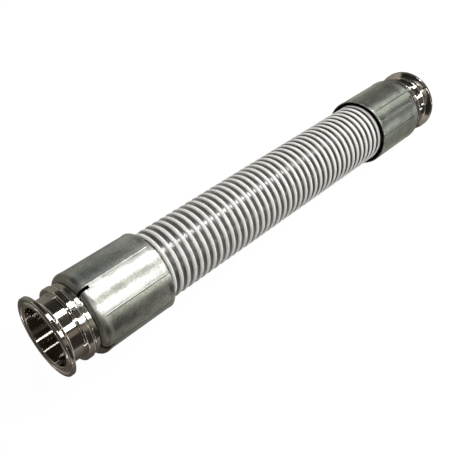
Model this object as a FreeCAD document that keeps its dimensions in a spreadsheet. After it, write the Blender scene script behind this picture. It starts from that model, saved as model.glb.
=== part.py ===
import FreeCAD, Part
import os
import re

import Sketcher
from FreeCAD import Placement, Rotation, Vector

# A two-inch food hose, about eighteen inches long, with a sanitary clamp stem crimped into each end.
# Millimetres. It lies on its side along X, resting on its two ferrules, with the front end at
# minus X. The origin is on the surface that it lies on, under the middle.

SIZES = {
    # the whole hose, from flange face to flange face
    "overall_length": 461.0,
    # the bore that the liquid runs through, which every wall below is built out from
    "bore_radius": 23.75,
    "bore_mouth_round": 0.8,
    "bore_end_round": 0.5,
    # clamp flange, with a back that slopes down to the neck
    "flange_face_width": 8.25,
    "flange_rim_width": 2.85,
    "flange_back_slope": 0.364,
    "flange_edge_round": 0.6,
    "gasket_groove_inset": 4.4,
    "gasket_groove_depth": 1.1,
    "gasket_groove_section": 1.75,
    # neck, collar and ring of the stem, placed from the flange face
    "neck_wall": 1.65,
    "neck_root_round": 2.0,
    "collar_start": 15.9,
    "collar_width": 5.4,
    "collar_height": 4.0,
    "collar_round": 0.9,
    "undercut_width": 1.1,
    "undercut_depth": 2.1,
    "ring_width": 4.0,
    "ring_height": 3.1,
    "ring_round": 0.7,
    # seat behind the ring, where the lip of the ferrule is locked
    "seat_depth": 1.6,
    "seat_clearance": 0.1,
    "lip_gap": 0.3,
    # shank inside the hose, with barbs that bite into its wall
    "shank_end": 87.9,
    "shank_wall": 1.55,
    "shank_clearance": 0.1,
    "barb_start": 39.9,
    "barb_pitch": 6.5,
    "barb_count": 6,
    "barb_length": 3.2,
    "barb_height": 0.9,
    # ferrule, curled in at the lip end and slotted there, with a gap round the hose at its mouth
    "mouth_gap": 2.2,
    "ferrule_wall": 2.0,
    "ferrule_length": 65.2,
    "lip_edge_round": 0.6,
    "lip_land": 0.7,
    "mouth_outer_round": 0.6,
    "mouth_inner_round": 0.5,
    "slot_count": 4,
    "slot_width": 2.4,
    "slot_length": 8.6,
    "front_slot_turn": 17.3,
    "rear_slot_turn": 40.0,
    # grip rings inside the ferrule, which press on the bead of the hose
    "grip_start": 14.0,
    "grip_pitch": 14.0,
    "grip_count": 3,
    "grip_width": 3.6,
    "grip_crest_width": 1.2,
    "grip_clearance": 0.05,
    # flexible wall of the hose, pushed on over the shank
    "hose_wall": 2.4,
    "hose_end_gap": 0.3,
    # rigid bead wound round the wall as a left-hand spiral
    "bead_pitch": 7.12,
    "bead_width": 4.0,
    "bead_crest_width": 2.0,
    "bead_height": 1.0,
    "bead_seat_gap": 0.02,
    "bead_end_inset": 0.65,
    "bead_turn": 190.6,
}

# places along the axis from the face of the flange, worked out from the sizes above
COLLAR_END = "collar_start + collar_width"
RING_START = COLLAR_END + " + undercut_width"
RING_END = RING_START + " + ring_width"
LIP_START = RING_END + " + lip_gap"
SEAT_END = LIP_START + " + ferrule_wall + hose_end_gap / 2"
HOSE_START = LIP_START + " + ferrule_wall + hose_end_gap"
HOSE_LENGTH = "overall_length - 2 * (" + HOSE_START + ")"

# radii, each built out from the bore
FLANGE_RADIUS = "bore_radius + flange_face_width"
NECK_RADIUS = "bore_radius + neck_wall"
COLLAR_RADIUS = NECK_RADIUS + " + collar_height"
UNDERCUT_RADIUS = COLLAR_RADIUS + " - undercut_depth"
RING_RADIUS = NECK_RADIUS + " + ring_height"
SEAT_RADIUS = RING_RADIUS + " - seat_depth"
LIP_RADIUS = SEAT_RADIUS + " + seat_clearance"
SHANK_RADIUS = "bore_radius + shank_wall"
HOSE_INNER_RADIUS = SHANK_RADIUS + " + shank_clearance"
HOSE_RADIUS = HOSE_INNER_RADIUS + " + hose_wall"
BEAD_RADIUS = HOSE_RADIUS + " + bead_height"
FERRULE_INNER_RADIUS = BEAD_RADIUS + " + mouth_gap"
FERRULE_RADIUS = FERRULE_INNER_RADIUS + " + ferrule_wall"
LIP_HEIGHT = FERRULE_RADIUS + " - (" + LIP_RADIUS + ")"

doc = FreeCAD.newDocument("SanitaryHose")
sheet = doc.addObject("Spreadsheet::Sheet", "Sizes")
for row, (alias, number) in enumerate(SIZES.items(), 1):
    sheet.set("A%d" % row, alias)
    sheet.set("B%d" % row, str(number))
    sheet.setAlias("B%d" % row, alias)
doc.recompute()


def bound(formula):
    """The formula with each size in it read from the sheet."""
    words = "|".join(sorted(SIZES, key=len, reverse=True))
    return re.sub(r"\b(%s)\b" % words, r"Sizes.\1", formula)


def new_body(label):
    body = doc.addObject("PartDesign::Body", label)
    body.Label = label
    return body


def axis_plane(body):
    """The body's own plane through the axis of the hose."""
    return next(item for item in body.Origin.OriginFeatures if item.Role == "XY_Plane")


def new_sketch(body, label):
    sketch = body.newObject("Sketcher::SketchObject", label)
    sketch.AttachmentSupport = [(axis_plane(body), "")]
    sketch.MapMode = "FlatFace"
    return sketch


def hold(sketch, kind, element, vertex, formula):
    """Ties one coordinate of a point in the sketch to the sheet."""
    index = sketch.addConstraint(Sketcher.Constraint(kind, -1, 1, element, vertex, 1.0))
    sketch.setExpression("Constraints[%d]" % index, bound(formula))


def draw_outline(body, label, corners):
    """A closed outline of straight lines. A corner is its name, its place along the axis, or None
    at the start of the part, and its radius."""
    sketch = new_sketch(body, label)
    count = len(corners)
    for line in range(count):
        start = Vector(line, line % 2, 0)
        end = Vector((line + 1) % count, (line + 1) % 2, 0)
        sketch.addGeometry(Part.LineSegment(start, end), False)
    for line in range(count):
        sketch.addConstraint(Sketcher.Constraint("Coincident", line, 2, (line + 1) % count, 1))
    for line, (_, along, radius) in enumerate(corners):
        if along is None:
            sketch.addConstraint(Sketcher.Constraint("PointOnObject", line, 1, -2))
        else:
            hold(sketch, "DistanceX", line, 1, along)
        hold(sketch, "DistanceY", line, 1, radius)
    doc.recompute()
    return sketch


def turn_outline(body, label, sketch, kind="PartDesign::Revolution"):
    """Turns a sketch a full circle about the axis of the hose."""
    turned = body.newObject(kind, label)
    turned.Profile = sketch
    turned.ReferenceAxis = (sketch, ["H_Axis"])
    turned.Angle = 360
    doc.recompute()
    return turned


def round_corners(body, label, sketch, corners, names, radius):
    """Rounds the circular edges that the named corners of a turned outline left."""
    base = body.Tip
    wanted = []
    for line, (name, _, _) in enumerate(corners):
        if name in names:
            wanted.append(sketch.Geometry[line].StartPoint)
    edges = []
    for number, edge in enumerate(base.Shape.Edges, 1):
        if not isinstance(edge.Curve, Part.Circle):
            continue
        centre = edge.Curve.Center
        for corner in wanted:
            same_place = abs(centre.x - corner.x) < 1e-4
            if same_place and abs(edge.Curve.Radius - corner.y) < 1e-4:
                edges.append("Edge%d" % number)
    if len(edges) != len(names):
        raise RuntimeError(label + " found %d of %d edges" % (len(edges), len(names)))
    fillet = body.newObject("PartDesign::Fillet", label)
    fillet.Base = (base, edges)
    fillet.setExpression("Radius", bound(radius))
    doc.recompute()
    return fillet


def repeat_along(body, label, feature, sketch, spacing, count):
    """Repeats a feature along the axis of the hose."""
    row = body.newObject("PartDesign::LinearPattern", label)
    row.Originals = [feature]
    row.Direction = (sketch, ["H_Axis"])
    row.setExpression("Length", bound("%s * (%s - 1)" % (spacing, count)))
    row.setExpression("Occurrences", bound(count))
    body.Tip = row
    doc.recompute()
    return row


def place(body, from_face, rear, turn=0.0):
    """Sets a body at its distance from the front flange face, or turned about at the rear."""
    rotation = Rotation(Vector(1, 0, 0), turn)
    if rear:
        rotation = rotation.multiply(Rotation(Vector(0, 0, 1), 180))
    body.Placement = Placement(Vector(), rotation)
    side = "overall_length / 2 - (%s)" % from_face
    if not rear:
        side = "-(%s)" % side
    body.setExpression("Placement.Base.x", bound(side))
    height = "max(%s; %s)" % (FERRULE_RADIUS, FLANGE_RADIUS)
    body.setExpression("Placement.Base.z", bound(height))


def clamp_stem(label, rear):
    """Stem turned from one bar: clamp flange, neck, collar, ring, lip seat and barbed shank."""
    body = new_body(label)
    back_end = "flange_rim_width + (flange_face_width - neck_wall) * flange_back_slope"
    corners = [
        ("bore mouth", None, "bore_radius"),
        ("rim front", None, FLANGE_RADIUS),
        ("rim back", "flange_rim_width", FLANGE_RADIUS),
        ("neck root", back_end, NECK_RADIUS),
        ("collar root", "collar_start", NECK_RADIUS),
        ("collar front", "collar_start", COLLAR_RADIUS),
        ("collar back", COLLAR_END, COLLAR_RADIUS),
        ("undercut front", COLLAR_END, UNDERCUT_RADIUS),
        ("undercut back", RING_START, UNDERCUT_RADIUS),
        ("ring front", RING_START, RING_RADIUS),
        ("ring back", RING_END, RING_RADIUS),
        ("seat front", RING_END, SEAT_RADIUS),
        ("seat back", SEAT_END, SEAT_RADIUS),
        ("shank root", SEAT_END, SHANK_RADIUS),
        ("shank end", "shank_end", SHANK_RADIUS),
        ("bore end", "shank_end", "bore_radius"),
    ]
    outline = draw_outline(body, label + "_outline", corners)
    turn_outline(body, label + "_turning", outline)

    gasket = new_sketch(body, label + "_gasket_section")
    gasket.addGeometry(Part.Circle(Vector(-1, 28, 0), Vector(0, 0, 1), 2), False)
    hold(gasket, "DistanceX", 0, 3, "gasket_groove_depth - gasket_groove_section")
    hold(gasket, "DistanceY", 0, 3, "bore_radius + gasket_groove_inset")
    index = gasket.addConstraint(Sketcher.Constraint("Radius", 0, 1.0))
    gasket.setExpression("Constraints[%d]" % index, bound("gasket_groove_section"))
    turn_outline(body, label + "_gasket_groove", gasket, "PartDesign::Groove")

    barb_corners = [
        ("tip", "barb_start", SHANK_RADIUS),
        ("crest", "barb_start", SHANK_RADIUS + " + barb_height"),
        ("tail", "barb_start + barb_length", SHANK_RADIUS),
        ("root", "barb_start + barb_length / 2", "(bore_radius + " + SHANK_RADIUS + ") / 2"),
    ]
    barb_outline = draw_outline(body, label + "_barb_outline", barb_corners)
    barb = turn_outline(body, label + "_barb", barb_outline)
    repeat_along(body, label + "_barbs", barb, barb_outline, "barb_pitch", "barb_count")

    roundings = [
        ("rim", ["rim front", "rim back"], "flange_edge_round"),
        ("neck_root", ["neck root"], "neck_root_round"),
        ("collar", ["collar front", "collar back"], "collar_round"),
        ("ring", ["ring front", "ring back"], "ring_round"),
        ("bore_mouth", ["bore mouth"], "bore_mouth_round"),
        ("bore_end", ["bore end"], "bore_end_round"),
    ]
    for name, names, radius in roundings:
        round_corners(body, "%s_%s_round" % (label, name), outline, corners, names, radius)
    place(body, "0", rear)
    return body


def crimp_ferrule(label, rear):
    """Ferrule drawn from sheet: a plain sleeve with one end curled in to a slotted lip."""
    body = new_body(label)
    corners = [
        ("lip front", None, LIP_RADIUS),
        ("shoulder", None, FERRULE_RADIUS),
        ("mouth outer", "ferrule_length", FERRULE_RADIUS),
        ("mouth inner", "ferrule_length", FERRULE_INNER_RADIUS),
        ("inner shoulder", "ferrule_wall", FERRULE_INNER_RADIUS),
        ("lip back", "ferrule_wall", LIP_RADIUS),
    ]
    outline = draw_outline(body, label + "_outline", corners)
    turn_outline(body, label + "_sleeve", outline)

    root = FERRULE_RADIUS + " - ferrule_wall / 2"
    crest = BEAD_RADIUS + " + grip_clearance"
    side = "(grip_width - grip_crest_width) / 2"
    grip_corners = [
        ("root front", "grip_start", root),
        ("root back", "grip_start + grip_width", root),
        ("foot back", "grip_start + grip_width", FERRULE_INNER_RADIUS),
        ("crest back", "grip_start + grip_width - " + side, crest),
        ("crest front", "grip_start + " + side, crest),
        ("foot front", "grip_start", FERRULE_INNER_RADIUS),
    ]
    grip_outline = draw_outline(body, label + "_grip_outline", grip_corners)
    grip = turn_outline(body, label + "_grip", grip_outline)
    repeat_along(body, label + "_grips", grip, grip_outline, "grip_pitch", "grip_count")

    outer_round = LIP_HEIGHT + " - lip_edge_round - lip_land"
    inner_round = outer_round + " - ferrule_wall"
    roundings = [
        ("shoulder", ["shoulder"], outer_round),
        ("inner_shoulder", ["inner shoulder"], inner_round),
        ("lip_edge", ["lip front", "lip back"], "lip_edge_round"),
        ("mouth_outer", ["mouth outer"], "mouth_outer_round"),
        ("mouth_inner", ["mouth inner"], "mouth_inner_round"),
    ]
    for name, names, radius in roundings:
        round_corners(body, "%s_%s_round" % (label, name), outline, corners, names, radius)

    slot_outline = new_sketch(body, label + "_slot_outline")
    slot_corners = [
        ("-slot_length / 4", "-slot_width / 2"),
        ("slot_length", "-slot_width / 2"),
        ("slot_length", "slot_width / 2"),
        ("-slot_length / 4", "slot_width / 2"),
    ]
    rough = [Vector(-2, -1, 0), Vector(8, -1, 0), Vector(8, 1, 0), Vector(-2, 1, 0)]
    for line in range(4):
        slot_outline.addGeometry(Part.LineSegment(rough[line], rough[(line + 1) % 4]), False)
    for line, (along, across) in enumerate(slot_corners):
        slot_outline.addConstraint(Sketcher.Constraint("Coincident", line, 2, (line + 1) % 4, 1))
        hold(slot_outline, "DistanceX", line, 1, along)
        hold(slot_outline, "DistanceY", line, 1, across)
    whole = body.Shape.Volume
    slot = body.newObject("PartDesign::Pocket", label + "_slot")
    slot.Profile = slot_outline
    slot.Type = "ThroughAll"
    slot.Reversed = True
    doc.recompute()
    if slot.Shape.Volume > whole - 1:
        raise RuntimeError(label + " slot cuts nothing")
    slots = body.newObject("PartDesign::PolarPattern", label + "_slots")
    slots.Originals = [slot]
    slots.Axis = (slot_outline, ["H_Axis"])
    slots.Angle = 360
    slots.setExpression("Occurrences", bound("slot_count"))
    body.Tip = slots
    place(body, LIP_START, rear, sheet.rear_slot_turn if rear else sheet.front_slot_turn)
    return body


def hose_tube(stems):
    """Wall of the hose, a straight tube that the barbs of both stems have bitten into."""
    body = new_body("hose_blank")
    corners = [
        ("inner front", None, HOSE_INNER_RADIUS),
        ("outer front", None, HOSE_RADIUS),
        ("outer rear", HOSE_LENGTH, HOSE_RADIUS),
        ("inner rear", HOSE_LENGTH, HOSE_INNER_RADIUS),
    ]
    turn_outline(body, "hose_blank_tube", draw_outline(body, "hose_blank_outline", corners))
    place(body, HOSE_START, False)
    wall = body
    for label, stem in zip(("hose_bitten_front", "hose_wall"), stems):
        bite = doc.addObject("Part::Cut", label)
        bite.Label = label
        bite.Base = wall
        bite.Tool = stem
        wall = bite
    doc.recompute()
    return wall


def wound_bead():
    """Rigid bead of the hose, a left-hand spiral from one end of the wall to the other."""
    body = new_body("reinforcing_helix")
    flank = "(bead_width - bead_crest_width) / 2"
    foot = HOSE_RADIUS + " + bead_seat_gap"
    corners = [
        ("foot front", "bead_end_inset", foot),
        ("crest front", "bead_end_inset + " + flank, BEAD_RADIUS),
        ("crest rear", "bead_end_inset + bead_width - " + flank, BEAD_RADIUS),
        ("foot rear", "bead_end_inset + bead_width", foot),
    ]
    section = draw_outline(body, "bead_section", corners)
    winding = body.newObject("PartDesign::AdditiveHelix", "bead_winding")
    winding.Profile = (section, [""])
    winding.ReferenceAxis = (section, ["H_Axis"])
    winding.Mode = "pitch-height-angle"
    winding.setExpression("Pitch", bound("bead_pitch"))
    run = HOSE_LENGTH + " - 2 * bead_end_inset - bead_width"
    winding.setExpression("Height", bound(run))
    winding.LeftHanded = True
    winding.Refine = False
    place(body, HOSE_START, False, sheet.bead_turn)
    doc.recompute()
    return body


front_stem = clamp_stem("front_clamp_stem", False)
rear_stem = clamp_stem("rear_clamp_stem", True)
nodes = [
    front_stem,
    rear_stem,
    crimp_ferrule("front_crimp_ferrule", False),
    crimp_ferrule("rear_crimp_ferrule", True),
    hose_tube([front_stem, rear_stem]),
    wound_bead(),
]
doc.recompute()

for item in doc.Objects:
    if "Invalid" in item.State or "Error" in item.State:
        raise RuntimeError(item.Label + " failed: " + str(item.State))
for node in nodes:
    if node.Shape.isNull() or not node.Shape.isValid() or len(node.Shape.Solids) != 1:
        raise RuntimeError(node.Label + " is not one valid solid")

os.makedirs("parts", exist_ok=True)
for node in nodes:
    node.Shape.exportStep("parts/" + node.Label + ".step")
    box = node.Shape.optimalBoundingBox()
    print("%-20s %9.1f mm3  X %8.2f %8.2f  R %6.2f" % (
        node.Label, node.Shape.Volume, box.XMin, box.XMax, box.YMax))
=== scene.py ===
import math

import bmesh
import bpy
from mathutils import Matrix, Vector


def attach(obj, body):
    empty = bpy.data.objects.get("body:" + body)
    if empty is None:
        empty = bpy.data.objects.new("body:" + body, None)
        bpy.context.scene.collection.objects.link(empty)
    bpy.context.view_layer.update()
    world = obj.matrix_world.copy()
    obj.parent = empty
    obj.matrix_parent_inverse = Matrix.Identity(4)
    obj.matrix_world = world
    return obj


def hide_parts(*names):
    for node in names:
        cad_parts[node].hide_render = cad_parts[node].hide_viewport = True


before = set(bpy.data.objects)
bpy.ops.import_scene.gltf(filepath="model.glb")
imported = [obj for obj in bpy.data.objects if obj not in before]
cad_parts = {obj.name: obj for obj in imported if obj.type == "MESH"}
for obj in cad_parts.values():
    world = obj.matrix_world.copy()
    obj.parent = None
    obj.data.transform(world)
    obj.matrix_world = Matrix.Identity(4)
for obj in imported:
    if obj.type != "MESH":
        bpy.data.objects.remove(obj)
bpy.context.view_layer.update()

# Camera, standing where the photograph was taken from: in front of the near flange, to its left
# and above, so that the hose runs away to the upper right and the near bore stands open.
CAMERA_DIP = 39.772
CAMERA_TURN = 46.123

scene = bpy.context.scene
camera_data = bpy.data.cameras.new("camera")
camera_data.sensor_width = 36.0
camera_data.lens = 51.44
camera = bpy.data.objects.new("camera", camera_data)
camera.location = (-0.35329, -0.28991, 0.37497)
camera.rotation_euler = (math.radians(90 - CAMERA_DIP), 0, math.radians(-CAMERA_TURN))
scene.collection.objects.link(camera)
scene.camera = camera
scene.view_settings.view_transform = "Standard"

# Studio: a white floor, even light all round and one soft lamp over the hose, as for a picture of
# bright metal. Dark cards and lit windows stand outside the picture for the steel to mirror: they
# light nothing matt and show only as reflections.
AXIS_HEIGHT = 0.033


class Signal:
    """A socket of a node tree. Python's operators on it add Math nodes, and node() adds any other."""

    def __init__(self, tree, socket=None):
        self.tree = tree
        self.socket = socket

    def node(self, kind, settings=None, inputs=None, output=0):
        made = self.tree.nodes.new(kind)
        for name, value in (settings or {}).items():
            if name == "stops":
                ramp = made.color_ramp.elements
                for index, (place, colour) in enumerate(value):
                    stop = ramp[index] if index < 2 else ramp.new(place)
                    stop.position = place
                    stop.color = (*colour, 1.0)
            else:
                setattr(made, name, value)
        for key, value in (inputs or {}).items():
            if isinstance(value, Signal):
                self.tree.links.new(value.socket, made.inputs[key])
            else:
                made.inputs[key].default_value = value
        if isinstance(output, tuple):
            return [Signal(self.tree, made.outputs[each]) for each in output]
        return Signal(self.tree, made.outputs[output] if made.outputs else None)

    def maths(self, operation, *others):
        return self.node("ShaderNodeMath", {"operation": operation}, dict(enumerate((self, *others))))

    def __add__(self, other):
        return self.maths("ADD", other)

    __radd__ = __add__

    def __mul__(self, other):
        return self.maths("MULTIPLY", other)

    __rmul__ = __mul__

    def __sub__(self, other):
        return self.maths("SUBTRACT", other)

    def __rsub__(self, other):
        return self.node("ShaderNodeMath", {"operation": "SUBTRACT"}, {0: other, 1: self})

    def __truediv__(self, other):
        return self.maths("DIVIDE", other)

    def __pow__(self, other):
        return self.maths("POWER", other)

    def between(self, low, high):
        """0 up to low, 1 from high on, and a smooth rise from one to the other."""
        return self.node("ShaderNodeMapRange", {"interpolation_type": "SMOOTHSTEP"},
                         {"Value": self, "From Min": low, "From Max": high})

    def tint(self, first, second):
        """The first colour where this is 0, the second where it is 1."""
        return self.node("ShaderNodeMix", {"data_type": "RGBA"},
                         {0: self, 6: first, 7: second}, output=2)


def new_finish(name):
    """A material with an empty tree, and the signal that its nodes are added from."""
    material = bpy.data.materials.new(name)
    material.use_nodes = True
    material.node_tree.nodes.clear()
    return material, Signal(material.node_tree)


def show(shader):
    shader.node("ShaderNodeOutputMaterial", inputs={"Surface": shader})


def seen_directly(start):
    """1 for what the camera, a mirror or glass sees, 0 for light on a surface."""
    camera_ray, glossy_ray, glass_ray = start.node(
        "ShaderNodeLightPath", output=("Is Camera Ray", "Is Glossy Ray", "Is Transmission Ray"))
    return camera_ray.maths("MAXIMUM", glossy_ray).maths("MAXIMUM", glass_ray)


def add_object(name, mesh):
    piece = bpy.data.objects.new(name, mesh)
    scene.collection.objects.link(piece)
    return piece


FLOOR_REACH = 6.0
FLOOR_GLOW = 0.95

floor_mesh = bpy.data.meshes.new("floor")
floor_mesh.from_pydata(
    [(-FLOOR_REACH, -FLOOR_REACH, 0), (FLOOR_REACH, -FLOOR_REACH, 0),
     (FLOOR_REACH, FLOOR_REACH, 0), (-FLOOR_REACH, FLOOR_REACH, 0)],
    [], [(0, 1, 2, 3)])
floor = add_object("floor", floor_mesh)
floor_paint, start = new_finish("floor_white")
matt = start.node("ShaderNodeBsdfDiffuse", inputs={"Color": (0.60, 0.60, 0.60, 1)})
glow = start.node("ShaderNodeEmission", inputs={"Color": (1, 1, 1, 1), "Strength": 1.03})
show(start.node("ShaderNodeMixShader", inputs={
    0: seen_directly(start) * FLOOR_GLOW, 1: matt, 2: glow}))
floor_mesh.materials.append(floor_paint)
floor.visible_glossy = False

WORLD_LEVEL = 0.34
world = bpy.data.worlds.new("studio")
scene.world = world
world.use_nodes = True
world.node_tree.nodes.clear()
start = Signal(world.node_tree)
level = seen_directly(start) * (1.0 - WORLD_LEVEL) + WORLD_LEVEL
sky = start.node("ShaderNodeBackground", inputs={"Color": (1, 1, 1, 1), "Strength": level})
sky.node("ShaderNodeOutputWorld", inputs={"Surface": sky})
world.cycles_visibility.glossy = False

# The cards are one closed tube round the hose. Each list below gives the turn about the hose, from
# straight up towards the camera's side, and the colour there. Every ring of the tube is mirrored
# at one place along the hose, so each kind of metal has a band of the tube to itself.
CARD_REACH = 3.0
CARD_LENGTH = 10.0
CARD_SIDES = 96
STEM_SHADES = [
    (-180, (0.100, 0.088, 0.075)),
    (-136, (0.100, 0.088, 0.075)),
    (-126, (0.270, 0.255, 0.215)),
    (-64, (0.250, 0.240, 0.205)),
    (-54, (0.055, 0.047, 0.038)),
    (-40, (0.037, 0.032, 0.028)),
    (18, (0.037, 0.034, 0.030)),
    (30, (0.062, 0.052, 0.040)),
    (66, (0.045, 0.040, 0.034)),
    (70, (0.235, 0.200, 0.155)),
    (82, (0.220, 0.190, 0.150)),
    (88, (0.042, 0.036, 0.030)),
    (126, (0.045, 0.038, 0.032)),
    (134, (0.300, 0.275, 0.235)),
    (165, (0.140, 0.120, 0.100)),
]
NEAR_SLEEVE_SHADES = [
    (-180, (0.185, 0.190, 0.172)),
    (-130, (0.265, 0.275, 0.248)),
    (-64, (0.295, 0.315, 0.290)),
    (-50, (0.130, 0.147, 0.152)),
    (-38, (0.115, 0.129, 0.132)),
    (-28, (0.400, 0.420, 0.412)),
    (-21, (0.760, 0.785, 0.760)),
    (-14, (0.280, 0.295, 0.290)),
    (0, (0.120, 0.126, 0.121)),
    (14, (0.200, 0.206, 0.196)),
    (28, (1.100, 1.110, 1.020)),
    (42, (1.200, 1.210, 1.100)),
    (68, (0.700, 0.710, 0.620)),
    (90, (0.860, 0.870, 0.740)),
    (98, (0.250, 0.255, 0.215)),
    (104, (0.016, 0.017, 0.015)),
    (128, (0.016, 0.017, 0.015)),
    (146, (0.225, 0.230, 0.208)),
]
FAR_SLEEVE_SHADES = [
    (-180, (0.430, 0.425, 0.357)),
    (-80, (0.480, 0.485, 0.410)),
    (-48, (0.240, 0.245, 0.220)),
    (-14, (0.250, 0.260, 0.235)),
    (0, (0.900, 1.000, 0.855)),
    (8, (0.950, 1.060, 0.890)),
    (17, (1.400, 1.550, 1.300)),
    (27, (2.100, 2.310, 1.940)),
    (36, (1.500, 1.670, 1.410)),
    (43, (0.420, 0.465, 0.420)),
    (50, (0.040, 0.045, 0.041)),
    (60, (0.060, 0.068, 0.062)),
    (72, (0.780, 0.900, 0.810)),
    (90, (0.660, 0.770, 0.705)),
    (104, (0.780, 0.880, 0.790)),
    (122, (0.440, 0.485, 0.430)),
    (140, (0.380, 0.380, 0.320)),
]
NEAR_HOSE_SHADE = (0.740, 0.700, 0.650, 1)
FAR_HOSE_SHADE = (0.030, 0.028, 0.025, 1)
BACK_SHADE = (0.400, 0.365, 0.320, 1)
END_SHADE = (0.030, 0.027, 0.023, 1)
# The far stem mirrors a darker end of the studio: its band goes this far towards END_SHADE.
FAR_STEM_DARKNESS = 0.65

corners = []
for along in (-CARD_LENGTH / 2, CARD_LENGTH / 2):
    for side in range(CARD_SIDES):
        turn = 2 * math.pi * side / CARD_SIDES
        corners.append((along, -CARD_REACH * math.sin(turn), CARD_REACH * math.cos(turn)))
strips = []
for side in range(CARD_SIDES):
    after = (side + 1) % CARD_SIDES
    strips.append((side, after, CARD_SIDES + after, CARD_SIDES + side))
ends = [tuple(range(CARD_SIDES)), tuple(range(2 * CARD_SIDES - 1, CARD_SIDES - 1, -1))]
card_mesh = bpy.data.meshes.new("dark_cards")
card_mesh.from_pydata(corners, [], strips + ends)
cards = add_object("dark_cards", card_mesh)
card_paint, start = new_finish("dark_card")
place = start.node("ShaderNodeTexCoord", output=3)
card_x, card_y, card_z = start.node("ShaderNodeSeparateXYZ", inputs={0: place}, output=(0, 1, 2))
card_turn = (0 - card_y).maths("ARCTAN2", card_z) / (2 * math.pi) + 0.5
reach = CARD_REACH / math.hypot(camera.location.y, camera.location.z - AXIS_HEIGHT)
mirrored_at = (card_x + reach * camera.location.x) / (1 + reach)


def shades(stops):
    """The colour of a band at every turn, which closes on its first colour."""
    closed = stops + [(180, stops[0][1])]
    ramp_stops = [(angle / 360 + 0.5, colour) for angle, colour in closed]
    return card_turn.node("ShaderNodeValToRGB", {"stops": ramp_stops}, {"Fac": card_turn})


stem_shade = shades(STEM_SHADES)
hose_shade = mirrored_at.between(-0.02, 0.10).tint(NEAR_HOSE_SHADE, FAR_HOSE_SHADE)
far_stem_shade = start.node("ShaderNodeMix", {"data_type": "RGBA"},
                            {0: FAR_STEM_DARKNESS, 6: stem_shade, 7: END_SHADE}, output=2)
# where along the hose each band begins to be mirrored and where it is reached, and its colour
BANDS = [
    (-0.82, -0.76, BACK_SHADE),
    (-0.60, -0.54, stem_shade),
    (-0.197, -0.191, shades(NEAR_SLEEVE_SHADES)),
    (-0.126, -0.118, hose_shade),
    (0.132, 0.139, shades(FAR_SLEEVE_SHADES)),
    (0.200, 0.207, far_stem_shade),
]
shade = END_SHADE
for begins, reached, band in BANDS:
    shade = mirrored_at.between(begins, reached).tint(shade, band)
cloud = start.node("ShaderNodeTexNoise", inputs={"Vector": place, "Scale": 0.9, "Detail": 3.0})
show(start.node("ShaderNodeEmission", inputs={"Color": shade, "Strength": cloud + 0.5}))
card_mesh.materials.append(card_paint)
for ray in ("camera", "diffuse", "transmission", "volume_scatter", "shadow"):
    setattr(cards, "visible_" + ray, False)

# The windows named front show in the near flange and bore, and those named far in the far stem.
# Those named behind show in the far neck, by way of the back of its flange. Each line gives name,
# turn about the hose and width, both in degrees, ends along the hose, distance from it, radiance,
# and whether the lamp is only mirrored or only lights what is matt.
WINDOWS = [
    ("window_high", 3.5, 17.0, 0.18, 0.50, 2.0, 6.0, True),
    ("window_low", 54.0, 14.0, 0.18, 0.50, 2.0, 6.0, True),
    ("window_high_sleeve", 17.5, 11.0, 0.50, 0.83, 2.0, 2.9, True),
    ("window_low_sleeve", 54.5, 21.0, 0.50, 0.83, 2.0, 2.4, True),
    ("window_high_hose", 13.7, 9.0, 0.83, 1.60, 2.0, 22.0, True),
    ("window_edge_hose", 84.3, 3.0, 0.83, 2.30, 2.0, 4.0, True),
    ("window_high_far", 5.0, 6.0, 2.84, 2.90, 2.0, 7.0, True),
    ("window_low_far", 58.0, 9.0, 2.77, 2.84, 2.0, 9.0, True),
    ("window_side_far", 108.0, 8.0, 2.84, 2.90, 2.0, 6.0, True),
    ("window_high_behind", 14.5, 11.0, -0.31, -0.15, 2.0, 12.0, True),
    ("window_low_behind", 56.0, 11.0, -0.30, -0.13, 2.0, 12.0, True),
    ("window_side_behind", 92.5, 6.0, -0.40, -0.26, 2.0, 8.0, True),
    ("window_high_front", 2.0, 4.0, -0.95, -0.40, 2.0, 10.0, True),
    ("window_low_front", 46.0, 6.0, -2.20, -0.40, 2.0, 12.0, True),
    ("window_side_front", 139.7, 1.5, -2.60, -0.40, 2.0, 8.0, True),
    ("window_back_front", -60.3, 2.0, -2.60, -0.40, 2.0, 3.0, True),
    ("soft_light", 20.0, 60.0, 0.25, 1.05, 0.8, 7.0, False),
]
for name, turn_deg, width_deg, first, last, distance, radiance, mirrored in WINDOWS:
    turn = math.radians(turn_deg)
    width = 2 * distance * math.tan(math.radians(width_deg / 2))
    lamp = bpy.data.lights.new(name, "AREA")
    lamp.shape = "RECTANGLE"
    lamp.size = last - first
    lamp.size_y = width
    lamp.energy = radiance * math.pi * lamp.size * lamp.size_y
    lamp_object = bpy.data.objects.new(name, lamp)
    outward = Vector((0, -math.sin(turn), math.cos(turn)))
    across = Vector((0, math.cos(turn), math.sin(turn)))
    middle = Vector(((first + last) / 2, 0, AXIS_HEIGHT)) + outward * distance
    lamp_object.matrix_world = Matrix.Translation(middle) @ Matrix(
        (Vector((1, 0, 0)), across, outward)).transposed().to_4x4()
    lamp_object.visible_camera = False
    lamp_object.visible_glossy = mirrored
    lamp_object.visible_diffuse = not mirrored
    scene.collection.objects.link(lamp_object)

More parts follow.
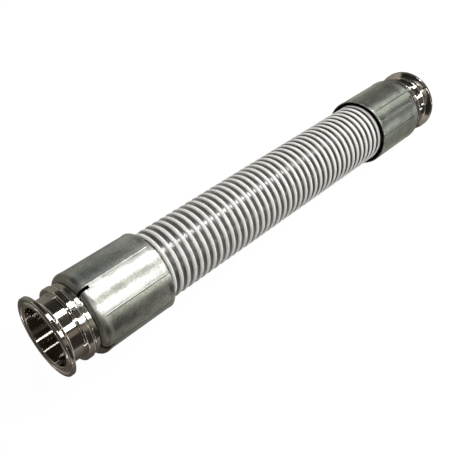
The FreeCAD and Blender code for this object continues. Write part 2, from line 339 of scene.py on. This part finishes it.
# Hose wall: one tube of soft smoky food compound with a smooth bore. Outside, the compound runs
# up a little to each side of the bead that is wound round it, so every groove is slightly hollow.
HOSE_START = -0.2015
HOSE_LENGTH = 0.403
HOSE_INNER_RADIUS = 0.0254
HOSE_RADIUS = 0.0278
BEAD_PITCH = 0.00712
BEAD_WIDTH = 0.004
BEAD_HEIGHT = 0.001
BEAD_INSET = 0.00065
BEAD_START = HOSE_START + BEAD_INSET + BEAD_WIDTH / 2
BEAD_START_TURN = math.radians(100.6)
WEB_RISE = 0.0001
WALL_RINGS_PER_TURN = 8
WALL_SIDES = 96
FERRULE_MOUTH = 0.1386
DEEP_SHADOW = (0.012, 0.012, 0.011, 1)


def about_axis(start):
    """The place on a piece measured from the hose's axis, how far along and how far out it is, and
    its turn about the axis."""
    coordinates = start.node("ShaderNodeTexCoord", output=3)
    centred = start.node("ShaderNodeMapping", inputs={
        "Vector": coordinates, "Location": (0, 0, -AXIS_HEIGHT)})
    along, across, upward = start.node(
        "ShaderNodeSeparateXYZ", inputs={0: centred}, output=(0, 1, 2))
    radial = (across * across + upward * upward) ** 0.5
    return centred, along, radial, (0 - across).maths("ARCTAN2", upward)


def under_ferrule(along, colour):
    """The colour, gone nearly black where a ferrule keeps the light off."""
    covered = along.maths("ABSOLUTE").between(FERRULE_MOUTH + 0.0003, FERRULE_MOUTH + 0.0018)
    return covered.tint(colour, DEEP_SHADOW)


def full_circle(sides):
    return [2 * math.pi * side / sides for side in range(sides)]


def turned_solid(name, outline, turns, relief=None):
    """A closed solid turned about the hose's axis from a closed outline of (along, radius), with
    an optional relief that is added to the radius at a place along and a turn about the axis."""
    points, faces = [], []
    count, sides = len(outline), len(turns)
    for along, radius in outline:
        for turn in turns:
            reach = radius + (relief(along, radius, turn) if relief else 0.0)
            points.append((along, -reach * math.sin(turn), AXIS_HEIGHT + reach * math.cos(turn)))
    for ring in range(count):
        for side in range(sides):
            here, there = ring * sides, (ring + 1) % count * sides
            after = (side + 1) % sides
            faces.append((here + side, here + after, there + after, there + side))
    mesh = bpy.data.meshes.new(name)
    mesh.from_pydata(points, [], faces)
    work = bmesh.new()
    work.from_mesh(mesh)
    bmesh.ops.recalc_face_normals(work, faces=work.faces)
    work.to_mesh(mesh)
    work.free()
    mesh.shade_smooth()
    return mesh


def web_relief(along, radius, turn):
    """The rise of the compound towards the bead, which winds as a left-hand spiral."""
    if radius < (HOSE_INNER_RADIUS + HOSE_RADIUS) / 2:
        return 0.0
    phase = (along - BEAD_START) / BEAD_PITCH + (turn - BEAD_START_TURN) / (2 * math.pi)
    return WEB_RISE * (1 + math.cos(2 * math.pi * phase)) / 2


wall_rings = round(HOSE_LENGTH / BEAD_PITCH * WALL_RINGS_PER_TURN)
wall_outline = [(HOSE_START + HOSE_LENGTH * ring / wall_rings, HOSE_RADIUS)
                for ring in range(wall_rings + 1)]
wall_outline += [(HOSE_START + HOSE_LENGTH, HOSE_INNER_RADIUS), (HOSE_START, HOSE_INNER_RADIUS)]
wall_mesh = turned_solid("hose_wall_web", wall_outline, full_circle(WALL_SIDES), web_relief)
hose_wall = add_object("hose_wall_web", wall_mesh)

wall_finish, start = new_finish("smoky_compound")
place, along = about_axis(start)[:2]
blotch = start.node("ShaderNodeTexNoise", inputs={"Vector": place, "Scale": 120.0, "Detail": 3.0})
swell = start.node("ShaderNodeTexNoise", inputs={"Vector": place, "Scale": 420.0, "Detail": 2.0})
colour = blotch.between(0.3, 0.7).tint((0.022, 0.020, 0.018, 1), (0.040, 0.036, 0.032, 1))
colour = under_ferrule(along, colour)
wavy = start.node("ShaderNodeBump", inputs={"Height": swell, "Strength": 1.0, "Distance": 0.00012})
show(start.node("ShaderNodeBsdfPrincipled", inputs={
    "Base Color": colour, "Roughness": swell * 0.14 + 0.15, "Normal": wavy,
    "IOR": 1.6, "Specular IOR Level": 0.8}))
hose_wall.data.materials.append(wall_finish)
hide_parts("hose_wall")
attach(hose_wall, "root")

# Reinforcing helix: a bead of rigid white plastic, extruded with the wall and wound round it from
# one end to the other. Its back is round and a little uneven, and its foot is bonded to the wall.
BEAD_TURN_STEPS = 96
BEAD_ARC_STEPS = 12
BEAD_UNEVEN = 0.00006
BEAD_UNEVEN_SCALE = 350.0
# how far the foot of the bead reaches into the wall
BEAD_SINK = 0.00005


def grow(name, base, sizes, make):
    """A piece made by a geometry node tree with named inputs, kept as a plain mesh."""
    tree = bpy.data.node_groups.new(name, "GeometryNodeTree")
    tree.interface.new_socket("Geometry", in_out="OUTPUT", socket_type="NodeSocketGeometry")
    tree.interface.new_socket("Geometry", in_out="INPUT", socket_type="NodeSocketGeometry")
    kinds = {float: "NodeSocketFloat", int: "NodeSocketInt"}
    sockets = {label: tree.interface.new_socket(label, in_out="INPUT", socket_type=kinds[type(size)])
               for label, size in sizes.items()}
    entry = tree.nodes.new("NodeGroupInput")
    named = {socket.name: Signal(tree, socket) for socket in entry.outputs if socket.name}
    result = make(Signal(tree), named)
    result.node("NodeGroupOutput", inputs={"Geometry": result})
    holder = add_object(name + "_holder", base or bpy.data.meshes.new(name))
    modifier = holder.modifiers.new(name, "NODES")
    modifier.node_group = tree
    for label, size in sizes.items():
        modifier[sockets[label].identifier] = size
    seen = holder.evaluated_get(bpy.context.evaluated_depsgraph_get())
    mesh = bpy.data.meshes.new_from_object(seen)
    mesh.name = name
    holder.modifiers.remove(modifier)
    bpy.data.objects.remove(holder)
    return add_object(name, mesh)


bead_finish, start = new_finish("white_bead_plastic")
place, along, radial = about_axis(start)[:3]
grain = start.node("ShaderNodeTexNoise", inputs={"Vector": place, "Scale": 900.0, "Detail": 3.0})
cloud = start.node("ShaderNodeTexNoise", inputs={"Vector": place, "Scale": 90.0, "Detail": 2.0})
mottle = (grain * 0.5 + cloud * 0.5).between(0.35, 0.65)
colour = mottle.tint((0.760, 0.735, 0.700, 1), (0.830, 0.815, 0.790, 1))
# The bead is painted darker at its foot, along the crease with the wall: painted shade.
clear_of_foot_shade = radial.between(HOSE_RADIUS + 0.0001, HOSE_RADIUS + 0.0005)
colour = clear_of_foot_shade.tint((0.420, 0.390, 0.360, 1), colour)
colour = under_ferrule(along, colour)
ripple = start.node("ShaderNodeBump", inputs={"Height": grain, "Strength": 0.6, "Distance": 0.00005})
show(start.node("ShaderNodeBsdfPrincipled", inputs={
    "Base Color": colour, "Roughness": cloud * 0.12 + 0.16, "Normal": ripple, "IOR": 1.5}))


def wind_bead(start, sizes):
    """A left-hand spiral with an arched section swept along it, laid over to run along the hose."""
    rotations = sizes["Run"] / sizes["Pitch"]
    spiral = start.node("GeometryNodeCurveSpiral", inputs={
        "Resolution": BEAD_TURN_STEPS, "Rotations": rotations, "Start Radius": sizes["Radius"],
        "End Radius": sizes["Radius"], "Height": sizes["Run"]})
    spiral = start.node("GeometryNodeSetCurveNormal", {"mode": "Z_UP"}, {"Curve": spiral})
    half = sizes["Width"] / 2
    foot = start.node("ShaderNodeCombineXYZ", inputs={0: 0.0, 1: half})
    crest = start.node("ShaderNodeCombineXYZ", inputs={0: 0 - sizes["Height"], 1: 0.0})
    heel = start.node("ShaderNodeCombineXYZ", inputs={0: 0.0, 1: 0 - half})
    section = start.node("GeometryNodeCurveArc", {"mode": "POINTS"},
                         {"Resolution": BEAD_ARC_STEPS, "Start": foot, "Middle": crest, "End": heel})
    section = start.node("GeometryNodeSetSplineCyclic", inputs={0: section, "Cyclic": True})
    bead = start.node("GeometryNodeCurveToMesh",
                      inputs={"Curve": spiral, "Profile Curve": section, "Fill Caps": True})
    phase = start.node("ShaderNodeCombineXYZ", inputs={2: sizes["Start Turn"]})
    bead = start.node("GeometryNodeTransform", inputs={"Geometry": bead, "Rotation": phase})
    middle = start.node("ShaderNodeCombineXYZ", inputs={0: sizes["Start"], 2: AXIS_HEIGHT})
    bead = start.node("GeometryNodeTransform", inputs={
        "Geometry": bead, "Rotation": (0, math.pi / 2, 0), "Translation": middle})
    uneven = start.node(
        "ShaderNodeTexNoise", inputs={"Scale": BEAD_UNEVEN_SCALE, "Detail": 1.0}, output=1)
    uneven = uneven.node(
        "ShaderNodeVectorMath", {"operation": "SUBTRACT"}, {0: uneven, 1: (0.5, 0.5, 0.5)})
    uneven = uneven.node(
        "ShaderNodeVectorMath", {"operation": "SCALE"}, {0: uneven, "Scale": sizes["Uneven"]})
    bead = start.node("GeometryNodeSetPosition", inputs={"Geometry": bead, "Offset": uneven})
    bead = start.node("GeometryNodeSetShadeSmooth", inputs={0: bead})
    bead = start.node("GeometryNodeRealizeInstances", inputs={0: bead})
    return start.node("GeometryNodeSetMaterial", inputs={"Geometry": bead, "Material": bead_finish})


bead = grow("reinforcing_bead", None, {
    "Radius": HOSE_RADIUS - BEAD_SINK, "Pitch": BEAD_PITCH,
    "Run": HOSE_LENGTH - 2 * BEAD_INSET - BEAD_WIDTH,
    "Start": BEAD_START, "Start Turn": BEAD_START_TURN - math.pi,
    "Width": BEAD_WIDTH + 2 * BEAD_SINK, "Height": BEAD_HEIGHT + BEAD_SINK,
    "Uneven": 2 * BEAD_UNEVEN}, wind_bead)
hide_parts("reinforcing_helix")
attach(bead, "root")

# Clamp stems: each turned from one bar of stainless steel and polished all over. The clamp flange
# with its gasket groove, neck, collar and ring stand outside, and a barbed shank is pushed into
# the hose.
ENDS = (("front", 1), ("rear", -1))
STEM_SIDES = 160
FACE = -0.2305
BORE_RADIUS = 0.02375
GROOVE_RADIUS = 0.02815
GROOVE_DEPTH = 0.0011
GROOVE_SECTION = 0.00175
GROOVE_EDGE_ROUND = 0.00006
GROOVE_STEPS = 9
# radii of the stem, and places along it from the flange face
FLANGE_RADIUS = 0.032
NECK_RADIUS = 0.0254
COLLAR_RADIUS = 0.0294
UNDERCUT_RADIUS = 0.0273
RING_RADIUS = 0.0285
SEAT_RADIUS = 0.0269
SHANK_RADIUS = 0.0253
BARB_RADIUS = 0.0262
RIM_END = 0.00285
NECK_START = 0.0052524
COLLAR_START = 0.0159
COLLAR_END = 0.0213
RING_START = 0.0224
RING_END = 0.0264
LIP_START = 0.0267
SEAT_END = 0.02885
BARB_START = 0.0399
SHANK_END = 0.0879
BARB_COUNT = 6
BARB_PITCH = 0.0065
BARB_LENGTH = 0.0032
BARB_ROUND = 0.0001
STEP_ROUND = 0.0002
# A second, tilted mirror stands in for the fine turning marks in the bore.
MARK_SLOPE = 0.3
MARK_SHARE = 0.3


def rounded(corners, step=math.radians(9)):
    """A closed line through corners of (along, radius, rounding), each rounding drawn as an arc."""
    line = []
    for index, (along, radius, rounding) in enumerate(corners):
        here = complex(along, radius)
        if not rounding:
            line.append(here)
            continue
        ahead = corners[(index + 1) % len(corners)]
        back_way = complex(*corners[index - 1][:2]) - here
        front_way = complex(ahead[0], ahead[1]) - here
        back_way, front_way = back_way / abs(back_way), front_way / abs(front_way)
        half = abs(math.atan2((back_way / front_way).imag, (back_way / front_way).real)) / 2
        middle = back_way + front_way
        centre = here + middle / abs(middle) * rounding / math.sin(half)
        first = here + back_way * rounding / math.tan(half) - centre
        last = here + front_way * rounding / math.tan(half) - centre
        steps = max(2, math.ceil((math.pi - 2 * half) / step))
        line += [centre + first * (last / first) ** (k / steps) for k in range(steps + 1)]
    return [(point.real, point.imag) for point in line]


def true_normals(mesh, outline, sides):
    """Gives a turned solid the normals of its outline, so that polish reflects without ripples."""
    count = len(outline)
    flow = []
    for index in range(count):
        ahead = outline[(index + 1) % count]
        step = complex(ahead[0] - outline[index][0], ahead[1] - outline[index][1])
        flow.append(step * abs(step))
    area = sum(a[0] * b[1] - b[0] * a[1] for a, b in zip(outline, outline[1:] + outline[:1]))
    normals = []
    for index in range(count):
        outward = (flow[index - 1] + flow[index]) * (-1j if area > 0 else 1j)
        outward /= abs(outward)
        for side in range(sides):
            turn = 2 * math.pi * side / sides
            normals.append(
                (outward.real, -outward.imag * math.sin(turn), outward.imag * math.cos(turn)))
    mesh.normals_split_custom_set_from_vertices(normals)


groove_half = math.acos((GROOVE_SECTION - GROOVE_DEPTH) / GROOVE_SECTION)
groove = []
for k in range(GROOVE_STEPS):
    swing = groove_half * (2 * k / (GROOVE_STEPS - 1) - 1)
    at_edge = k in (0, GROOVE_STEPS - 1)
    groove.append((GROOVE_DEPTH - GROOVE_SECTION * (1 - math.cos(swing)),
                   GROOVE_RADIUS + GROOVE_SECTION * math.sin(swing),
                   GROOVE_EDGE_ROUND if at_edge else 0))
barbs = []
for k in range(BARB_COUNT):
    tooth = BARB_START + BARB_PITCH * k
    barbs += [(tooth, SHANK_RADIUS, BARB_ROUND), (tooth, BARB_RADIUS, BARB_ROUND),
              (tooth + BARB_LENGTH, SHANK_RADIUS, BARB_ROUND)]
stem_line = rounded([
    (0, BORE_RADIUS, 0.0008), *groove,
    (0, FLANGE_RADIUS, 0.0006), (RIM_END, FLANGE_RADIUS, 0.0006),
    (NECK_START, NECK_RADIUS, 0.002), (COLLAR_START, NECK_RADIUS, 0.0003),
    (COLLAR_START, COLLAR_RADIUS, 0.0009), (COLLAR_END, COLLAR_RADIUS, 0.0009),
    (COLLAR_END, UNDERCUT_RADIUS, STEP_ROUND), (RING_START, UNDERCUT_RADIUS, STEP_ROUND),
    (RING_START, RING_RADIUS, 0.0007), (RING_END, RING_RADIUS, 0.0007),
    (RING_END, SEAT_RADIUS, STEP_ROUND), (SEAT_END, SEAT_RADIUS, STEP_ROUND),
    (SEAT_END, SHANK_RADIUS, STEP_ROUND), *barbs,
    (SHANK_END, SHANK_RADIUS, STEP_ROUND), (SHANK_END, BORE_RADIUS, 0.0005)])

polish_finish, start = new_finish("polished_stainless_steel")
centred, along, radial = about_axis(start)[:3]
track = start.node("ShaderNodeCombineXYZ", inputs={0: along, 1: radial})
cut_marks = start.node("ShaderNodeTexNoise", {"noise_dimensions": "2D"},
                       {"Vector": track, "Scale": 5200.0, "Detail": 1.0})
smears = start.node("ShaderNodeTexNoise", inputs={"Vector": centred, "Scale": 110.0, "Detail": 4.0})
colour = smears.between(0.3, 0.7).tint((0.560, 0.535, 0.500, 1), (0.660, 0.640, 0.610, 1))
in_bore = 1 - radial.between(BORE_RADIUS + 0.0001, BORE_RADIUS + 0.0005)
# The bore is painted a darker brown than the outside: painted shade inside it.
colour = in_bore.tint(colour, (0.420, 0.380, 0.340, 1))
lip_place = -FACE - LIP_START
# Past the lip, outside the bore, the stem is painted nearly black: painted shadow under the ferrule.
shaded_past_lip = 1 - along.maths("ABSOLUTE").between(lip_place - 0.0005, lip_place + 0.0001)
outside_bore = radial.between(BORE_RADIUS + 0.0008, BORE_RADIUS + 0.0012)
colour = (shaded_past_lip * outside_bore).tint(colour, DEEP_SHADOW)
lathe = start.node("ShaderNodeBump", inputs={
    "Height": cut_marks, "Strength": 0.5, "Distance": 0.000006})
mirror = start.node("ShaderNodeBsdfPrincipled", inputs={
    "Base Color": colour, "Metallic": 1.0, "Roughness": smears * 0.08 + 0.03, "Normal": lathe})
outward = start.node("ShaderNodeCombineXYZ", inputs={0: along.maths("SIGN") * MARK_SLOPE})
facing = start.node("ShaderNodeNewGeometry", output="Normal")
flank = start.node("ShaderNodeVectorMath", {"operation": "ADD"}, {0: facing, 1: outward})
flank = start.node("ShaderNodeVectorMath", {"operation": "NORMALIZE"}, {0: flank})
flanks = start.node("ShaderNodeBsdfPrincipled", inputs={
    "Base Color": colour, "Metallic": 1.0, "Roughness": 0.07, "Normal": flank})
show(start.node("ShaderNodeMixShader", inputs={0: in_bore * MARK_SHARE, 1: mirror, 2: flanks}))

for side_name, sense in ENDS:
    outline = [(sense * (FACE + s), r) for s, r in stem_line]
    mesh = turned_solid(side_name + "_stem_polished", outline, full_circle(STEM_SIDES))
    true_normals(mesh, outline, STEM_SIDES)
    stem = add_object(side_name + "_stem_polished", mesh)
    mesh.materials.append(polish_finish)
    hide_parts(side_name + "_clamp_stem")
    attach(stem, "root")

# Crimp ferrules: sleeves drawn from rolled stainless sheet, curled in to a lip with four slots, and
# squeezed onto the hose by eight dies, which leave a faint line where each two of them met.
SLOT_COUNT = 4
SLOT_WIDTH = 0.0024
SLOT_LENGTH = 0.0086
SLOT_TURNS = {"front": math.radians(17.3), "rear": math.radians(40.0)}
BLADE_DEPTH = 0.016
DIE_COUNT = 8
DIE_SPACING = 2 * math.pi / DIE_COUNT
DIE_FLAT = 0.0003
DIE_LINE_HEIGHT = 0.00012
DIE_LINE_HALF = 0.0004
DIE_START = 0.0060
DIE_START_FADE = 0.003
DIE_END = 0.0640
DIE_END_FADE = 0.002
DIE_TURNS = {"front": math.radians(13.2), "rear": math.radians(27.8)}
FERRULE_RADIUS = 0.033
FERRULE_INNER_RADIUS = 0.031
FERRULE_WALL = 0.002
FERRULE_LENGTH = 0.0652
LIP_RADIUS = 0.027
LIP_EDGE_ROUND = 0.0006
OUTER_SKIN = 0.0008
SLEEVE_RINGS = 29
SLEEVE_RING_STEP = 0.002
GRIP_START = 0.014
GRIP_PITCH = 0.014
GRIP_RADIUS = 0.02885
GRIP_WIDTH = 0.0036
GRIP_CREST_WIDTH = 0.0012
GRIP_ROUND = 0.0002

grip_slope = (GRIP_WIDTH - GRIP_CREST_WIDTH) / 2
grips = []
for k in (2, 1, 0):
    ring = GRIP_START + GRIP_PITCH * k
    grips += [(ring + GRIP_WIDTH, FERRULE_INNER_RADIUS, GRIP_ROUND),
              (ring + GRIP_WIDTH - grip_slope, GRIP_RADIUS, GRIP_ROUND),
              (ring + grip_slope, GRIP_RADIUS, GRIP_ROUND),
              (ring, FERRULE_INNER_RADIUS, GRIP_ROUND)]
sleeve = [(DIE_START + SLEEVE_RING_STEP * k, FERRULE_RADIUS, 0) for k in range(SLEEVE_RINGS)]
ferrule_line = rounded([
    (0, LIP_RADIUS, LIP_EDGE_ROUND), (0, FERRULE_RADIUS, 0.0047), *sleeve,
    (FERRULE_LENGTH, FERRULE_RADIUS, 0.0006), (FERRULE_LENGTH, FERRULE_INNER_RADIUS, 0.0005),
    *grips,
    (FERRULE_WALL, FERRULE_INNER_RADIUS, 0.0027), (FERRULE_WALL, LIP_RADIUS, LIP_EDGE_ROUND)])


def die_turns(first):
    """Turns about the axis for the sleeve's sides, closer together beside each die line."""
    turns = set()
    fine = DIE_LINE_HALF / FERRULE_RADIUS
    for die in range(DIE_COUNT):
        at = first + die * DIE_SPACING
        turns.update(at + fine * offset for offset in (-3, -2, -1, -0.5, 0, 0.5, 1, 2, 3))
        turns.update(at + DIE_SPACING * step / 20 for step in range(2, 19))
    return sorted(turns)


def die_relief(first, sense):
    """The marks of the dies on the outside: a raised line at each joint, flattened sides between."""

    def relief(along, radius, turn):
        if radius < FERRULE_RADIUS - OUTER_SKIN:
            return 0.0
        from_lip = sense * along - FACE - LIP_START
        pressed = min(1.0, max(0.0, (from_lip - DIE_START) / DIE_START_FADE),
                      max(0.0, (DIE_END - from_lip) / DIE_END_FADE))
        beside = (turn - first + DIE_SPACING / 2) % DIE_SPACING - DIE_SPACING / 2
        from_middle = (turn - first) % DIE_SPACING / DIE_SPACING * 2 - 1
        line = max(0.0, 1 - abs(beside) * FERRULE_RADIUS / DIE_LINE_HALF) * DIE_LINE_HEIGHT
        return pressed * (line - DIE_FLAT * (1 - from_middle ** 2))

    return relief


def at_each_end(along, turns):
    """The front ferrule's turn on the front half of the hose, the rear one's on the rear half."""
    return along.maths("GREATER_THAN", 0.0) * (turns["rear"] - turns["front"]) + turns["front"]


def beside_nearest(turn, radial, count):
    """The distance, round the axis, to the nearest of so many evenly spaced places."""
    rounds = turn * (count / (2 * math.pi))
    return (rounds - rounds.maths("ROUND")).maths("ABSOLUTE") * radial * (2 * math.pi / count)


satin_finish, start = new_finish("satin_stainless_sheet")
place, along, radial, turn = about_axis(start)
stretched = start.node("ShaderNodeMapping", inputs={"Vector": place, "Scale": (0.6, 1, 1)})
grains = start.node("ShaderNodeTexNoise", inputs={"Vector": stretched, "Scale": 800.0, "Detail": 3.0})
clouds = start.node("ShaderNodeTexNoise", inputs={"Vector": stretched, "Scale": 140.0, "Detail": 4.0})
mottle = grains * 0.5 + clouds * 0.5
colour = mottle.between(0.38, 0.62).tint((0.450, 0.462, 0.439, 1), (0.630, 0.640, 0.602, 1))
from_middle = along.maths("ABSOLUTE")
from_lip = lip_place - from_middle
beside_slot = beside_nearest(turn - at_each_end(along, SLOT_TURNS), radial, SLOT_COUNT)
in_slot = (1 - beside_slot.between(SLOT_WIDTH / 2, SLOT_WIDTH / 2 + 0.0001)) * (
    1 - from_lip.between(SLOT_LENGTH, SLOT_LENGTH + 0.0001))
in_mouth = (1 - from_middle.between(FERRULE_MOUTH + 0.0003, FERRULE_MOUTH + 0.0006)) * (
    1 - radial.between(FERRULE_RADIUS - 0.0011, FERRULE_RADIUS - 0.0007))
# The curl and die lines are darker, partly own tone and partly painted shade; the curl is duller.
curl = 1 - from_lip.between(0.0025, 0.0055)
colour = curl.tint(colour, (0.300, 0.295, 0.270, 1))
beside_line = beside_nearest(turn - at_each_end(along, DIE_TURNS), radial, DIE_COUNT)
on_line = (1 - beside_line.between(0.0002, 0.0005)) * from_lip.between(
    DIE_START, DIE_START + DIE_START_FADE)
colour = on_line.tint(colour, (0.260, 0.265, 0.250, 1))
# Slots and the mouth's end face are painted nearly black: painted shade.
colour = in_slot.maths("MAXIMUM", in_mouth).tint(colour, (0.015, 0.015, 0.014, 1))
rolled = start.node("ShaderNodeBump", inputs={"Height": mottle, "Strength": 0.5, "Distance": 0.00006})
show(start.node("ShaderNodeBsdfPrincipled", inputs={
    "Base Color": colour, "Metallic": 1.0,
    "Roughness": clouds * 0.12 + curl * 0.16 + 0.19, "Normal": rolled}))


def cut_slots(start, sizes):
    """Takes slots through the curled lip, evenly round the axis."""
    size = start.node("ShaderNodeCombineXYZ", inputs={
        0: sizes["Length"] * 2, 1: sizes["Width"], 2: BLADE_DEPTH})
    blade = start.node("GeometryNodeMeshCube", inputs={"Size": size})
    at = start.node("ShaderNodeCombineXYZ", inputs={0: sizes["Lip"], 2: FERRULE_INNER_RADIUS})
    blade = start.node("GeometryNodeTransform", inputs={"Geometry": blade, "Translation": at})
    spots = start.node("GeometryNodePoints", inputs={"Count": sizes["Count"]})
    index = start.node("GeometryNodeInputIndex")
    turn = index * (2 * math.pi) / sizes["Count"] + sizes["Turn"]
    turn = start.node("ShaderNodeCombineXYZ", inputs={0: turn})
    blades = start.node("GeometryNodeInstanceOnPoints", inputs={
        "Points": spots, "Instance": blade, "Rotation": turn})
    blades = start.node("GeometryNodeRealizeInstances", inputs={0: blades})
    blades = start.node("GeometryNodeTransform", inputs={
        "Geometry": blades, "Translation": (0, 0, AXIS_HEIGHT)})
    slotted = start.node("GeometryNodeMeshBoolean", {"operation": "DIFFERENCE", "solver": "EXACT"},
                         {"Mesh 1": sizes["Geometry"], "Mesh 2": blades})
    slotted = start.node("GeometryNodeRealizeInstances", inputs={0: slotted})
    return start.node("GeometryNodeSetMaterial", inputs={
        "Geometry": slotted, "Material": satin_finish})


for side_name, sense in ENDS:
    outline = [(sense * (FACE + LIP_START + s), r) for s, r in ferrule_line]
    first = DIE_TURNS[side_name]
    blank = turned_solid(
        side_name + "_ferrule_blank", outline, die_turns(first), die_relief(first, sense))
    ferrule = grow(side_name + "_ferrule_satin", blank, {
        "Lip": sense * (FACE + LIP_START), "Length": SLOT_LENGTH, "Width": SLOT_WIDTH,
        "Count": SLOT_COUNT, "Turn": SLOT_TURNS[side_name]}, cut_slots)
    ferrule.data.shade_smooth()
    ferrule.data.set_sharp_from_angle(angle=math.radians(35))
    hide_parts(side_name + "_crimp_ferrule")
    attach(ferrule, "root")
